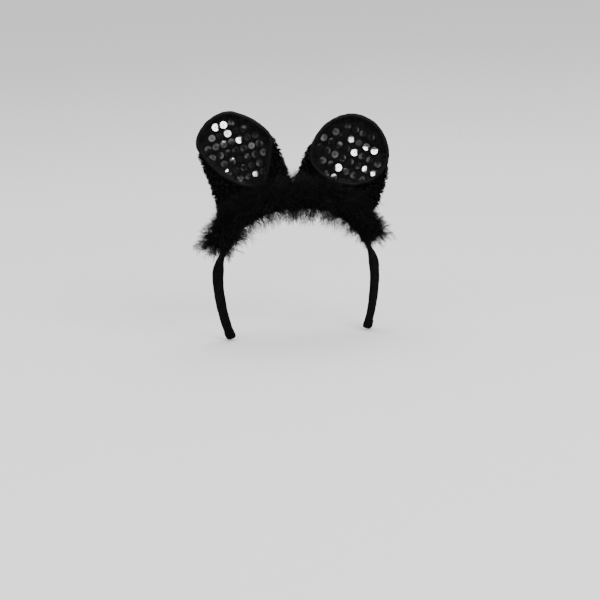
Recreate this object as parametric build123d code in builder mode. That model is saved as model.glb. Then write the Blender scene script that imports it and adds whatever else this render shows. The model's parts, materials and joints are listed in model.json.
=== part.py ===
"""Animal ears headband: a sprung band covered in cloth, with two plush ears and a strip of down.

Frame: the origin is the centre of the crown's arc, in the middle of the head that the band grips.
+X is to the right as seen from in front, -Y is the front and +Z is up. Sizes are in millimetres.
The right-hand side is modelled, and the left-hand side is its mirror image.
"""

import os
from math import cos, hypot, radians, sin

from build123d import *

os.makedirs("parts", exist_ok=True)

# The band. Angles along it are measured from its top, in degrees.
BAND_R = 80.0  # middle of the plastic core
BAND_WIDTH = 14.0
TIP_WIDTH = 10.5
COVER_T = 4.2
COVER_WALL = 0.8
CORE_T = 2.4
CORE_PLAY = 0.1  # between the core and the sleeve around it
FLEX_AT = 62.0  # where each arm springs from the crown
BEND_R, BEND_TO = 70.0, 92.0  # below the flex line each arm curves in as far as where it faces this way
ARM_R = 200.0  # and from there it is nearly straight
TIP_AT = 108.0  # the way the arm faces at its tip
ARM_TWIST = 48.0  # the arms turn to lie flat against the front of the temples
TWIST_FROM, TWIST_OVER = 65.0, 18.0
FLEX_GAP = 0.36  # half the gap in the sleeve at the flex line, in degrees along the band
CORE_GAP = 1.2  # from the flex line to the arm's plastic core, in degrees; the crown's core ends in a round
RIBBON_WIDTH = 9.0
RIBBON_T = 0.4
ARM_RIBBON_GAP = 0.1
ARM_RIBBON_LESS = 5.0  # how much narrower than the arm its ribbon is
CAP_LAP = 2.1  # how far each end cap laps over the sleeve, in degrees
CAP_END = 0.35
CAP_WALL = 0.6
HOLLOW_END, CORE_END = 0.3, 0.34  # where the sleeve's inside and its core stop short of its end, in degrees
COVER_ROUND, CORE_ROUND, CAP_ROUND, CAP_END_ROUND, RIBBON_ROUND = 1.4, 0.6, 1.9, 1.0, 0.15
ARM_STATIONS = 16

# The ears, in each ear's own plane: u runs outwards, v up from the fold line and w forwards.
EAR_LEAN = 10.5
FOLD_R = 90.0  # from the origin to the fold line
EAR_FOOT_X = 46.3
PANEL_HALF_W, PANEL_MIDDLE, PANEL_UP, PANEL_DOWN = 35.2, 52.5, 35.5, 34.5
PANEL_EGG = 0.05
PANEL_FACE, PANEL_T = 9.5, 1.0
EDGE_POINTS = 16
BODY_MIDDLE = (-4.0, 43.0)
BODY_OUT, BODY_IN, BODY_UP, BODY_DOWN = 41.0, 41.0, 42.0, 40.0
BODY_ROUND_UP, BODY_ROUND_DOWN = 0.88, 0.62  # 1 is an ellipse, and less is squarer
BODY_BACK = 17.0  # how far the rounded back reaches behind the fold line
BODY_FLAT = 0.4  # the flattened middle of the back, as a share of the outline
SHOULDER_STEPS, BACK_STEPS = 4, 7
PLUSH_T = 1.6
BINDING_OUT, BINDING_BACK, BINDING_FRONT, BINDING_ROUND = 3.2, 6.5, 10.6, 1.3
WIRE_T = 1.2
WIRE_IN = 1.0
WIRE_GAP = 6.0

# The sequins and the thread that holds each one.
SEQUIN_R, SEQUIN_HOLE_R, SEQUIN_T = 3.5, 0.6, 0.35
SEQUIN_PITCH, SEQUIN_ROWS, SEQUIN_TURN = 9.3, 5, 14.0
SEQUIN_MARGIN = 6.0
THREAD_R, THREAD_RISE = 0.5, 0.7

# Each ear's base: a rolled hem that lies in a trough in the foam pad on the band.
HEM_R, HEM_ROUND, HEM_PLAY = 5.2, 2.0, 0.3
HEM_FROM, HEM_TO = -37.0, 14.0
PAD_HALF_DEPTH = 6.5
PAD_LIP = -1.5
PAD_FROM_X, PAD_TO_X = 10.0, 57.0

# The strip of down along the front of the band.
TRIM_R, TRIM_Y, TRIM_END = 86.0, -13.5, 45.2
CORD_R = 1.0
DOWN_AT_R, DOWN_Y, DOWN_R = 89.5, -16.0, 8.7
TUFT_AT_R, TUFT_Y, TUFT_R = 95.2, -10.0, 12.0
TUFT_TO = 62.0
TACK_R = 0.6
TACK_ANGLES = (-39, -26, -13, 0, 13, 26, 39)

COVER_OUT_R = BAND_R + COVER_T / 2
COVER_IN_R = BAND_R - COVER_T / 2
FLEX_POINT = (BAND_R * sin(radians(FLEX_AT)), BAND_R * cos(radians(FLEX_AT)))


def save(part, label):
    """Labels one finished piece and writes its STEP file."""
    part.label = label
    export_step(part, f"parts/{label}.step")


def save_pair(part, name):
    """Writes the right-hand piece and its mirror image."""
    save(part, f"right_{name}")
    save(mirror(part, about=Plane.YZ), f"left_{name}")


# ---------------------------------------------------------------- the band's crown


def arc_band(inner, outer, half_span):
    """The outline of a flat strip bent round the origin, as a face in the current sketch."""
    with BuildLine() as outline:
        top = CenterArc((0, 0), outer, 90 - half_span, 2 * half_span)
        under = CenterArc((0, 0), inner, 90 - half_span, 2 * half_span)
        Line(top @ 0, under @ 0)
        Line(top @ 1, under @ 1)
    make_face(outline.edges())


with BuildPart() as crown_core:
    with BuildSketch(Plane.XZ):
        arc_band(BAND_R - CORE_T / 2, BAND_R + CORE_T / 2, FLEX_AT)
    core_half = BAND_WIDTH / 2 - COVER_WALL - CORE_PLAY
    extrude(amount=core_half, both=True)
    with BuildSketch(Plane.XZ):
        with Locations(FLEX_POINT, (-FLEX_POINT[0], FLEX_POINT[1])):
            Circle(CORE_T / 2)
    extrude(amount=core_half - CORE_ROUND, both=True)
save(crown_core.part, "crown_core")

with BuildPart() as crown_cover:
    with BuildSketch(Plane.XZ):
        arc_band(COVER_IN_R, COVER_OUT_R, FLEX_AT - FLEX_GAP)
    extrude(amount=BAND_WIDTH / 2, both=True)
    fillet(crown_cover.edges().filter_by(GeomType.CIRCLE), COVER_ROUND)
    with BuildSketch(Plane.XZ):
        arc_band(COVER_IN_R + COVER_WALL, COVER_OUT_R - COVER_WALL, FLEX_AT + 2)
    extrude(amount=BAND_WIDTH / 2 - COVER_WALL, both=True, mode=Mode.SUBTRACT)
save(crown_cover.part, "crown_cover")

with BuildPart() as crown_ribbon:
    with BuildSketch(Plane.XZ):
        arc_band(COVER_IN_R - RIBBON_T, COVER_IN_R, FLEX_AT - FLEX_GAP)
    extrude(amount=RIBBON_WIDTH / 2, both=True)
save(crown_ribbon.part, "crown_ribbon")

# ---------------------------------------------------------------- the arms


def facing(angle):
    """The direction out from the head, this far round the band."""
    return Vector(sin(radians(angle)), 0, cos(radians(angle)))


def arm_middle(angle):
    """The middle of the arm where it faces this way."""
    bend = facing(min(angle, BEND_TO)) - facing(FLEX_AT)
    run = facing(max(angle, BEND_TO)) - facing(BEND_TO)
    return facing(FLEX_AT) * BAND_R + bend * BEND_R + run * ARM_R


def arm_plane(angle, inwards=0.0):
    """The plane across the arm where it faces this way: x across the band's width and y out from the head."""
    share = min(max((angle - TWIST_FROM) / TWIST_OVER, 0.0), 1.0)
    twist = radians(ARM_TWIST) * share * share * (3 - 2 * share)
    across = Vector(0, cos(twist), 0) + facing(angle) * sin(twist)
    along = facing(angle + 90)
    return Plane(arm_middle(angle) + across.cross(along) * inwards, x_dir=across, z_dir=along)


def arm_width(angle):
    """The band's width, which narrows most towards the tip."""
    share = (angle - FLEX_AT) / (TIP_AT - FLEX_AT)
    return BAND_WIDTH + (TIP_WIDTH - BAND_WIDTH) * share * share


def arm_strip(start, end, less_width, thickness, corner, inwards=0.0):
    """Lofts a strip along the arm into the part being built, through the same stations for every strip."""
    step = (TIP_AT - FLEX_AT) / ARM_STATIONS
    stations = [FLEX_AT + step * k for k in range(1, ARM_STATIONS)]
    between = [angle for angle in stations if start < angle < end]
    rungs = []
    for angle in [start, *between, end]:
        with BuildSketch(arm_plane(angle, inwards)) as rung:
            RectangleRounded(arm_width(angle) - less_width, thickness, corner)
        rungs.append(rung.sketch.face())
    loft(rungs)


with BuildPart() as arm_core:
    core_less = 2 * (COVER_WALL + CORE_PLAY)
    arm_strip(FLEX_AT + CORE_GAP, TIP_AT - CORE_END, core_less, CORE_T, CORE_ROUND)
save_pair(arm_core.part, "arm_core")

with BuildPart() as arm_whole:
    arm_strip(FLEX_AT + FLEX_GAP, TIP_AT, 0, COVER_T, COVER_ROUND)

with BuildPart() as arm_hollow:
    arm_strip(FLEX_AT - 1, TIP_AT - HOLLOW_END, 2 * COVER_WALL, COVER_T - 2 * COVER_WALL, CORE_ROUND)

with BuildPart() as arm_cover:
    add(arm_whole.part)
    add(arm_hollow.part, mode=Mode.SUBTRACT)
save_pair(arm_cover.part, "arm_cover")

with BuildPart() as arm_ribbon:
    sink = COVER_T / 2 + ARM_RIBBON_GAP + RIBBON_T / 2
    end = TIP_AT - CAP_LAP - HOLLOW_END
    arm_strip(FLEX_AT + FLEX_GAP, end, ARM_RIBBON_LESS, RIBBON_T, RIBBON_ROUND, sink)
save_pair(arm_ribbon.part, "arm_ribbon")

with BuildPart() as arm_tip:
    arm_strip(TIP_AT - CAP_LAP, TIP_AT + CAP_END, -2 * CAP_WALL, COVER_T + 2 * CAP_WALL, CAP_ROUND)
    fillet(arm_tip.faces().sort_by(Axis.Z)[0].edges(), CAP_END_ROUND)
    add(arm_whole.part, mode=Mode.SUBTRACT)
save_pair(arm_tip.part, "arm_tip")

# ---------------------------------------------------------------- the ears

LEAN = radians(EAR_LEAN)
EAR_UP = Vector(sin(LEAN), 0, cos(LEAN))
EAR_ALONG = Vector(cos(LEAN), 0, -sin(LEAN))
EAR_FOOT = EAR_UP * FOLD_R + EAR_ALONG * ((EAR_FOOT_X - FOLD_R * sin(LEAN)) / cos(LEAN))
EAR = Plane(EAR_FOOT, x_dir=EAR_ALONG, z_dir=(0, -1, 0))
FOLD = Plane(EAR_FOOT, x_dir=(0, 1, 0), z_dir=EAR_ALONG)


def egg(inset=0.0):
    """Points round the front panel, fuller towards its top."""
    points = []
    for k in range(EDGE_POINTS):
        turn = radians(360.0 * k / EDGE_POINTS)
        rise = PANEL_UP if sin(turn) > 0 else PANEL_DOWN
        half = PANEL_HALF_W * (1 + PANEL_EGG * sin(turn)) - inset
        points.append((half * cos(turn), PANEL_MIDDLE + (rise - inset) * sin(turn)))
    return points


def body(share=1.0, inset=0.0):
    """Points round the plush body, a squarer and lower shape than the panel."""
    points = []
    for k in range(EDGE_POINTS):
        turn = radians(360.0 * k / EDGE_POINTS)
        c, r = cos(turn), sin(turn)
        half = (BODY_OUT if c > 0 else BODY_IN) * share - inset
        rise = (BODY_UP if r > 0 else BODY_DOWN) * share - inset
        roundness = BODY_ROUND_UP if r > 0 else BODY_ROUND_DOWN
        across = (abs(c) ** roundness) * (1 if c > 0 else -1)
        along = (abs(r) ** roundness) * (1 if r > 0 else -1)
        points.append((BODY_MIDDLE[0] + half * across, BODY_MIDDLE[1] + rise * along))
    return points


def closed_outline(points, mode=Mode.ADD):
    """A face inside a smooth closed curve through the points, in the current sketch."""
    with BuildLine() as outline:
        Spline(*points, periodic=True)
    make_face(outline.edges(), mode=mode)


def ear_rung(depth, points):
    with BuildSketch(EAR.offset(depth)) as rung:
        closed_outline(points)
    return rung.sketch.face()


def ear_body(inset):
    """Lofts the ear's body from its rounded back to its front rim into the part being built."""
    rungs = []
    for k in range(BACK_STEPS, 0, -1):
        turn = radians(90.0 * k / BACK_STEPS)
        share = 1 - (1 - BODY_FLAT) * (1 - cos(turn))
        rungs.append(ear_rung((inset - BODY_BACK) * sin(turn), body(share, inset)))
    for k in range(SHOULDER_STEPS + 1):
        along = k / SHOULDER_STEPS
        swell = cos(radians(90.0 * along))
        rim = zip(egg(1.0 + inset), body(1.0, inset))
        points = [(e[0] + (b[0] - e[0]) * swell, e[1] + (b[1] - e[1]) * swell) for e, b in rim]
        rungs.append(ear_rung((PANEL_FACE - PANEL_T) * along, points))
    loft(rungs, ruled=True)


with BuildPart() as ear_whole:
    ear_body(0.0)

with BuildPart() as ear_inside:
    ear_body(PLUSH_T)

with BuildPart() as ear_hem:
    with BuildSketch(FOLD.offset(HEM_FROM)):
        Circle(HEM_R)
    extrude(amount=HEM_TO - HEM_FROM)
    fillet(ear_hem.edges().filter_by(GeomType.CIRCLE), HEM_ROUND)
save_pair(ear_hem.part, "ear_base_hem")

with BuildPart() as hem_room:
    with BuildSketch(FOLD.offset(HEM_FROM - 1)):
        Circle(HEM_R)
    extrude(amount=HEM_TO - HEM_FROM + 2)

with BuildPart() as ear_stuffing:
    add(ear_inside.part)
    add(hem_room.part, mode=Mode.SUBTRACT)
save_pair(ear_stuffing.part, "ear_stuffing")

with BuildPart() as ear_plush:
    add(ear_whole.part)
    add(ear_inside.part, mode=Mode.SUBTRACT)
    add(hem_room.part, mode=Mode.SUBTRACT)
save_pair(ear_plush.part, "ear_plush")

with BuildPart() as ear_panel:
    with BuildSketch(EAR.offset(PANEL_FACE)):
        closed_outline(egg())
    extrude(amount=-PANEL_T)
save_pair(ear_panel.part, "ear_panel")

with BuildPart() as ear_wire:
    with BuildSketch(EAR.offset(PANEL_FACE - PANEL_T - WIRE_T / 2)):
        closed_outline(egg(-WIRE_IN - WIRE_T))
        closed_outline(egg(-WIRE_IN), Mode.SUBTRACT)
        with Locations((0, PANEL_MIDDLE - PANEL_DOWN)):
            Rectangle(WIRE_GAP, 10 * WIRE_T, mode=Mode.SUBTRACT)
    extrude(amount=WIRE_T)
    add(ear_whole.part, mode=Mode.SUBTRACT)
save_pair(ear_wire.part, "ear_wire")

with BuildPart() as ear_binding:
    with BuildSketch(EAR.offset(BINDING_BACK)):
        closed_outline(egg(-BINDING_OUT))
    extrude(amount=BINDING_FRONT - BINDING_BACK)
    fillet(ear_binding.edges(), BINDING_ROUND)
    with BuildSketch(EAR.offset(BINDING_BACK - 1)):
        closed_outline(egg())
    extrude(amount=BINDING_FRONT - BINDING_BACK + 2, mode=Mode.SUBTRACT)
    add(ear_whole.part, mode=Mode.SUBTRACT)
    add(ear_wire.part, mode=Mode.SUBTRACT)
save_pair(ear_binding.part, "ear_binding")

# ---------------------------------------------------------------- the sequins


def sequin_spots():
    """Where the sequins sit: a square grid, turned, as far as the panel's margin."""
    spots = []
    turn = radians(-SEQUIN_TURN)
    for row in range(-SEQUIN_ROWS, SEQUIN_ROWS + 1):
        for column in range(-SEQUIN_ROWS, SEQUIN_ROWS + 1):
            across, along = column * SEQUIN_PITCH, row * SEQUIN_PITCH
            u = across * cos(turn) - along * sin(turn)
            v = across * sin(turn) + along * cos(turn)
            rise = (PANEL_UP if v > 0 else PANEL_DOWN) - SEQUIN_MARGIN
            half = PANEL_HALF_W * (1 + PANEL_EGG * v / rise) - SEQUIN_MARGIN
            if hypot(u / half, v / rise) < 1.0:
                spots.append((u, PANEL_MIDDLE + v))
    return spots


with BuildPart() as ear_sequins:
    with BuildSketch(EAR.offset(PANEL_FACE)):
        with Locations(*sequin_spots()):
            Circle(SEQUIN_R)
            Circle(SEQUIN_HOLE_R, mode=Mode.SUBTRACT)
    extrude(amount=SEQUIN_T)
save_pair(ear_sequins.part, "ear_sequins")

with BuildPart() as ear_threads:
    with BuildSketch(EAR.offset(PANEL_FACE)):
        with Locations(*sequin_spots()):
            Circle(THREAD_R)
    extrude(amount=THREAD_RISE)
save_pair(ear_threads.part, "ear_threads")

# ---------------------------------------------------------------- the foam pads under the ears

with BuildPart() as ear_pad:
    with BuildSketch(Plane.XZ):
        with Locations(((PAD_FROM_X + PAD_TO_X) / 2, COVER_OUT_R)):
            Rectangle(PAD_TO_X - PAD_FROM_X, COVER_OUT_R)
        Circle(COVER_OUT_R, mode=Mode.SUBTRACT)
        lip = EAR_FOOT + EAR_UP * (PAD_LIP + FOLD_R / 2)
        with Locations(Location((lip.X, lip.Z), -EAR_LEAN)):
            Rectangle(2 * FOLD_R, FOLD_R, mode=Mode.SUBTRACT)
    extrude(amount=PAD_HALF_DEPTH, both=True)
    with BuildSketch(FOLD):
        Circle(HEM_R + HEM_PLAY)
    extrude(amount=FOLD_R, both=True, mode=Mode.SUBTRACT)
save_pair(ear_pad.part, "ear_base_pad")

# ---------------------------------------------------------------- the strip of down


def ring_piece(radius, front, thick, start, end):
    """Sweeps a round section about the band's axis into the part being built."""
    foot = facing(start) * radius + Vector(0, front, 0)
    with BuildSketch(Plane(foot, x_dir=(0, 1, 0), z_dir=facing(start + 90))) as section:
        Circle(thick)
    revolve(section.sketch.face(), axis=Axis.Y, revolution_arc=end - start)


with BuildPart() as trim_cord:
    ring_piece(TRIM_R, TRIM_Y, CORD_R, -TRIM_END, TRIM_END)
save(trim_cord.part, "trim_cord")

with BuildPart() as trim_tacks:
    for angle in TACK_ANGLES:
        foot = facing(angle) * BAND_R + Vector(0, -BAND_WIDTH / 2, 0)
        reach = facing(angle) * (TRIM_R - BAND_R) + Vector(0, TRIM_Y + BAND_WIDTH / 2, 0)
        with BuildSketch(Plane(foot, z_dir=reach)) as tack:
            Circle(TACK_R)
        extrude(amount=reach.length)
    add(crown_cover.part, mode=Mode.SUBTRACT)
    add(trim_cord.part, mode=Mode.SUBTRACT)
save(trim_tacks.part, "trim_stitches")

with BuildPart() as trim_down:
    ring_piece(DOWN_AT_R, DOWN_Y, DOWN_R, -TRIM_END, TRIM_END)
    add(trim_cord.part, mode=Mode.SUBTRACT)
    add(trim_tacks.part, mode=Mode.SUBTRACT)
save(trim_down.part, "trim_down_middle")

with BuildPart() as trim_tuft:
    ring_piece(TUFT_AT_R, TUFT_Y, TUFT_R, TRIM_END, TUFT_TO)
save_pair(trim_tuft.part, "trim_down_end")
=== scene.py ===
"""The looks of the animal ears headband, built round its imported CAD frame.

Lengths are millimetres and angles along the band are degrees from its top, as in the part's own frame.
Pieces are made for the right-hand side and mirrored for the left, each side with its own shape and seed.
"""

import json
from math import atan2, cos, degrees, hypot, pi, radians, sin

import bmesh
import bpy
import numpy as np
from mathutils import Matrix, Vector, noise


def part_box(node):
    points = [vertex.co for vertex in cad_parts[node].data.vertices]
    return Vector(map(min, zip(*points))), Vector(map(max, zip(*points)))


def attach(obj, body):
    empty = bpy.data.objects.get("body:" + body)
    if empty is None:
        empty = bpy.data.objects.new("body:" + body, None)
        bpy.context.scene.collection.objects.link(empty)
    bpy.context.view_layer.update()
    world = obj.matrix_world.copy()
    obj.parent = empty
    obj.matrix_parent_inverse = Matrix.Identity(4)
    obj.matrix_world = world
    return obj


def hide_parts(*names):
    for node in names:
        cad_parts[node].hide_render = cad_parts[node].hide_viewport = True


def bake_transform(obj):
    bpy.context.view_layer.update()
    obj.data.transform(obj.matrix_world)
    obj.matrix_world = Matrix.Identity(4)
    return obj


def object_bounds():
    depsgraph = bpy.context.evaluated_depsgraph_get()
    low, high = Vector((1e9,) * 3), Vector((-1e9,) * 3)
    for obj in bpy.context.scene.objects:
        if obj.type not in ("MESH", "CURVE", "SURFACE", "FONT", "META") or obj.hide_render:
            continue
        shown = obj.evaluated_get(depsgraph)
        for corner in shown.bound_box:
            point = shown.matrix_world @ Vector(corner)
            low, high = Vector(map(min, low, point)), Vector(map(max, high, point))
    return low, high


MM = 0.001
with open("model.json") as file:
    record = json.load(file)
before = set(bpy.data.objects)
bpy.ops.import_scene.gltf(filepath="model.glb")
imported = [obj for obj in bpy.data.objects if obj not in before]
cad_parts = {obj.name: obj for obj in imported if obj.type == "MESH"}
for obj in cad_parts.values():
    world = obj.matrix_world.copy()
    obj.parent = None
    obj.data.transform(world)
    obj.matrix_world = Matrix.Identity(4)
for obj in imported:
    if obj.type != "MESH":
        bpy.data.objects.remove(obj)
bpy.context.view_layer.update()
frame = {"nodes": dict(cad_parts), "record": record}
joints = {joint["name"]: joint for joint in frame["record"]["behaviour"]["joints"]}
SIDES = {"left": -1, "right": 1}


def box_mm(node):
    low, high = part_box(node)
    return np.array(low) / MM, np.array(high) / MM


# ---------------------------------------------------------------- sizes taken from the frame

FLEX = np.array(joints["right_arm_flex"]["pos_m"]) / MM
BAND_R = hypot(FLEX[0], FLEX[2])
FLEX_AT = degrees(atan2(FLEX[0], FLEX[2]))
COVER_OUT_R = box_mm("crown_cover")[1][2]
COVER_T = 2 * (COVER_OUT_R - BAND_R)
BAND_WIDTH = 2 * box_mm("crown_cover")[1][1]
RIBBON_WIDTH = 2 * box_mm("crown_ribbon")[1][1]

FOOT = np.array(joints["right_ear_fold"]["pos_m"]) / MM
ALONG = -np.array(joints["right_ear_fold"]["axis"])
UP = np.array((-ALONG[2], 0.0, ALONG[0]))
FRONT = np.array((0.0, -1.0, 0.0))
BACK = np.array((0.0, 1.0, 0.0))

CORD_LOW, CORD_HIGH = box_mm("trim_cord")
CORD_Y = (CORD_LOW[1] + CORD_HIGH[1]) / 2
CORD_R = CORD_HIGH[2] - (CORD_HIGH[1] - CORD_LOW[1]) / 2
DOWN_LOW, DOWN_HIGH = box_mm("trim_down_middle")
DOWN_Y = (DOWN_LOW[1] + DOWN_HIGH[1]) / 2
DOWN_THICK = (DOWN_HIGH[1] - DOWN_LOW[1]) / 2
DOWN_R = DOWN_HIGH[2] - DOWN_THICK
END_LOW, END_HIGH = box_mm("right_trim_down_end")
END_Y = (END_LOW[1] + END_HIGH[1]) / 2
END_THICK = (END_HIGH[1] - END_LOW[1]) / 2

# ---------------------------------------------------------------- sizes of the looks

TIP_AT = 108.0
TIP_WIDTH = 10.5
BEND_R, BEND_TO = 70.0, 92.0
ARM_R = 200.0
ARM_TWIST, TWIST_FROM, TWIST_OVER = 48.0, 65.0, 18.0
DOWN_END_AT = 45.2
TUFT_END_AT = 61.0

# Each ear's outer edge, in its own plane: (out from the foot, up from the fold line).
EDGES = {
    "left": [(34, 68), (27.5, 81), (13, 91), (-4, 93), (-20, 84.5), (-33, 71.5), (-39.5, 57), (-34.5, 39.5),
             (-25, 19), (-11, 14), (4, 20.5), (20, 36), (30, 54)],
    "right": [(-1, 84), (-16, 78.5), (-29, 66.5), (-36.5, 48), (-35, 31), (-19, 17.5), (-2, 13.5), (14, 14),
              (30, 21.5), (40.5, 36.5), (40, 54.5), (29, 73), (14, 82)],
}
# Each ear's plush body, whose lower edge follows the band.
BODIES = {
    "left": [(31, 62), (23, 78), (9, 86), (-7, 86), (-22, 77), (-33, 66), (-40, 52), (-43, 36), (-44.5, 20),
             (-46.5, 4), (-44, -9), (-25, -9), (-4, -13), (13, -21), (24, -27), (27, -12), (27, 8), (28, 26),
             (30, 44)],
    "right": [(36, 52), (27, 66), (13, 73), (-1, 75), (-14, 70), (-25, 60), (-33, 50), (-38, 39), (-40.5, 28),
              (-43.5, 15), (-46.5, 3), (-44, -9), (-25, -9), (-4, -13), (13, -21), (26, -28), (33, -12),
              (37, 0), (40, 14), (41, 28), (39.5, 42)],
}
EAR_MIDDLE = {"left": (-3.0, 52.0), "right": (1.0, 48.0)}
BODY_MIDDLE = {"left": (-6.0, 36.0), "right": (-3.0, 34.0)}
EAR_REACH = 37.0  # from an ear's middle to its outer edge, about the same all round
EDGE_STEPS, BODY_STEPS, BODY_RINGS = 168, 120, 18
LOCKS, HAIRS = 3300, 5

# How far forward the panel's rim lies, and how much deeper its middle is.
PANEL_RIM, PANEL_DISH = 9.2, 4.6
# The wire's place: in from the ear's edge, and forward.
WIRE_INSET, WIRE_FORWARD, WIRE_R = 2.1, PANEL_RIM - 0.4, 0.6
# Where the binding lies on the panel: (in from the ear's edge, above the cloth), down to its turned edge.
FLANGE = ((4.1, 0.75), (4.6, 0.6), (5.2, 0.62), (5.6, 0.5), (5.75, 0.25), (5.2, 0.02), (4.6, 0.0), (4.1, 0.0))
SEAM_INSET = 4.8

SEQUIN_RADII = (0.6, 0.72, 1.5, 2.4, 3.1, 3.42, 3.5)
# How near the ear's edge a sequin's middle may be: at the sides, and how much more at the top.
SEQUIN_CLEAR, SEQUIN_CLEAR_TOP = 7.2, 2.8
# Each ear's grid of sequins: pitch along and across its rows, the slope of its rows and of its columns in
# degrees, and one sequin's place.
GRIDS = {"left": (7.9, 9.25, -3.3, -11.8, (-0.4, 62.8)), "right": (8.5, 10.1, -19.0, -16.5, (2.2, 58.5))}
# Sequins that lie at the slant which throws the window's light forwards, as (column, row) from that place, and
# the way that they face.
SHINING = {
    "left": [(1, 2), (0, 2), (0, 1), (-1, 0), (-1, -4), (-4, 0), (3, -2)],
    "right": [(-2, 1), (0, 0), (2, 0), (3, 0), (1, -1), (3, -2), (4, -2), (0, -3)],
}
SHINE = {"left": (-0.09, -0.99, 0.118), "right": (0.023, -0.993, 0.118)}
SHINE_NEAR = 0.990  # how closely another sequin may match that slant before it is tipped away

# How far the down may reach: the axis, its direction, where it starts to be pressed in, and the limit.
PRESSES = ((1, -1, 20.0, 36.0), (1, 1, 6.0, 22.0), (0, 1, 94.0, 110.0))
# The feathers' kinds, as shares of them all: the first lie round the front, the next stand out behind, and the
# last stand up and are longer.
FRONT_TO, PLUMES_FROM = 0.4, 0.68
LONGEST_PLUME = 33.0
TUFTS_FROM = 0.75  # where the down starts to fan out, as a share of the way to its end
BARB_SIZE = 0.5

# ---------------------------------------------------------------- materials


def material(name, color, roughness, metallic=0.0, sheen=0.0, specular=0.5):
    """A new material and its shader, with its constant values set on the shader's own sockets."""
    made = bpy.data.materials.new(name)
    made.use_nodes = True
    shader = made.node_tree.nodes["Principled BSDF"]
    shader.inputs["Base Color"].default_value = (*color, 1.0)
    shader.inputs["Roughness"].default_value = roughness
    shader.inputs["Metallic"].default_value = metallic
    shader.inputs["Sheen Weight"].default_value = sheen
    shader.inputs["Specular IOR Level"].default_value = specular
    return made


def link(made, source, socket, target, name):
    made.node_tree.links.new(source.outputs[socket], target.inputs[name])


def node(made, kind, **values):
    """A node whose named inputs, or else properties, are set."""
    fresh = made.node_tree.nodes.new(kind)
    for name, value in values.items():
        socket = name.replace("_", " ").title() if name[0].islower() else name
        if socket in fresh.inputs:
            fresh.inputs[socket].default_value = value
        else:
            setattr(fresh, name, value)
    return fresh


def tones(made, dark, light, scale):
    """Colour that drifts between two tones, by noise in the object's own space."""
    place = node(made, "ShaderNodeTexCoord")
    cloud = node(made, "ShaderNodeTexNoise", scale=scale, detail=3.0)
    ramp = node(made, "ShaderNodeValToRGB")
    ramp.color_ramp.elements[0].color = (*dark, 1.0)
    ramp.color_ramp.elements[1].color = (*light, 1.0)
    ramp.color_ramp.elements[0].position = 0.35
    ramp.color_ramp.elements[1].position = 0.68
    link(made, place, "Object", cloud, "Vector")
    link(made, cloud, "Fac", ramp, "Fac")
    link(made, ramp, "Color", made.node_tree.nodes["Principled BSDF"], "Base Color")


def bumps(made, layers):
    """A bump from noise and wave layers: (kind, scale, distance in mm, turn about each axis)."""
    shader = made.node_tree.nodes["Principled BSDF"]
    place = node(made, "ShaderNodeTexCoord")
    last = None
    for kind, scale, depth, turn in layers:
        mapping = node(made, "ShaderNodeMapping")
        mapping.inputs["Rotation"].default_value = [radians(a) for a in turn]
        link(made, place, "Object", mapping, "Vector")
        if kind == "noise":
            texture = node(made, "ShaderNodeTexNoise", scale=scale, detail=4.0)
            socket = "Fac"
        elif kind == "cells":
            texture = node(made, "ShaderNodeTexVoronoi", scale=scale)
            socket = "Distance"
        else:
            texture = node(made, "ShaderNodeTexWave", scale=scale, distortion=0.6)
            socket = "Fac"
        bump = node(made, "ShaderNodeBump", strength=0.8, distance=depth * MM)
        link(made, mapping, "Vector", texture, "Vector")
        link(made, texture, socket, bump, "Height")
        if last:
            link(made, last, "Normal", bump, "Normal")
        last = bump
    link(made, last, "Normal", shader, "Normal")


def woven(name, color, roughness, drift, layers, **finish):
    """A material whose colour drifts between two tones, (dark, light, scale), under layers of bumps."""
    made = material(name, color, roughness, **finish)
    tones(made, *drift)
    bumps(made, layers)
    return made


def metal(name, dark, light, roughness):
    """Mirror metal with a faint drift of tone and very shallow unevenness."""
    return woven(name, light, roughness, (dark, light, 420.0), [("noise", 500.0, 0.018, STRAIGHT)],
                 metallic=1.0)


def grey(value):
    return (value, value, value)


STRAIGHT = (0, 0, 0)
VELVET = woven("band_velvet", grey(0.003), 0.9, (grey(0.002), (0.0045, 0.004, 0.0045), 260.0),
               [("noise", 2600.0, 0.12, STRAIGHT), ("noise", 500.0, 0.10, STRAIGHT)],
               sheen=0.012, specular=0.07)
SATIN = woven("satin", (0.004, 0.004, 0.005), 0.42, ((0.004, 0.004, 0.0045), (0.007, 0.0065, 0.008), 180.0),
              [("wave", 900.0, 0.03, (0, 40, 0)), ("wave", 900.0, 0.03, (0, -50, 0)),
               ("noise", 160.0, 0.18, STRAIGHT)], specular=0.13)
PANEL = woven("panel_cloth", grey(0.003), 0.6, (grey(0.003), (0.007, 0.006, 0.007), 220.0),
              [("wave", 700.0, 0.05, (0, 20, 0)), ("wave", 700.0, 0.05, (0, -70, 0)),
               ("noise", 240.0, 0.25, STRAIGHT)], specular=0.055)
RIBBON = woven("ribbon", (0.007, 0.007, 0.008), 0.6, ((0.005, 0.005, 0.006), (0.010, 0.010, 0.011), 300.0),
               [("wave", 420.0, 0.12, (0, 90, 0)), ("noise", 1500.0, 0.04, STRAIGHT)], specular=0.2)
BACKING = woven("plush_backing", grey(0.002), 0.95, (grey(0.0015), grey(0.003), 320.0),
                [("cells", 700.0, 0.35, STRAIGHT), ("noise", 1500.0, 0.2, STRAIGHT)], specular=0.05)
FELT = woven("pad_felt", grey(0.005), 0.95, (grey(0.004), grey(0.008), 400.0),
             [("noise", 1400.0, 0.2, STRAIGHT), ("noise", 300.0, 0.25, STRAIGHT)], specular=0.1)
PLASTIC = woven("core_plastic", (0.03, 0.03, 0.032), 0.45,
                ((0.025, 0.025, 0.027), (0.036, 0.036, 0.038), 150.0), [("noise", 900.0, 0.03, STRAIGHT)])
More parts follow.
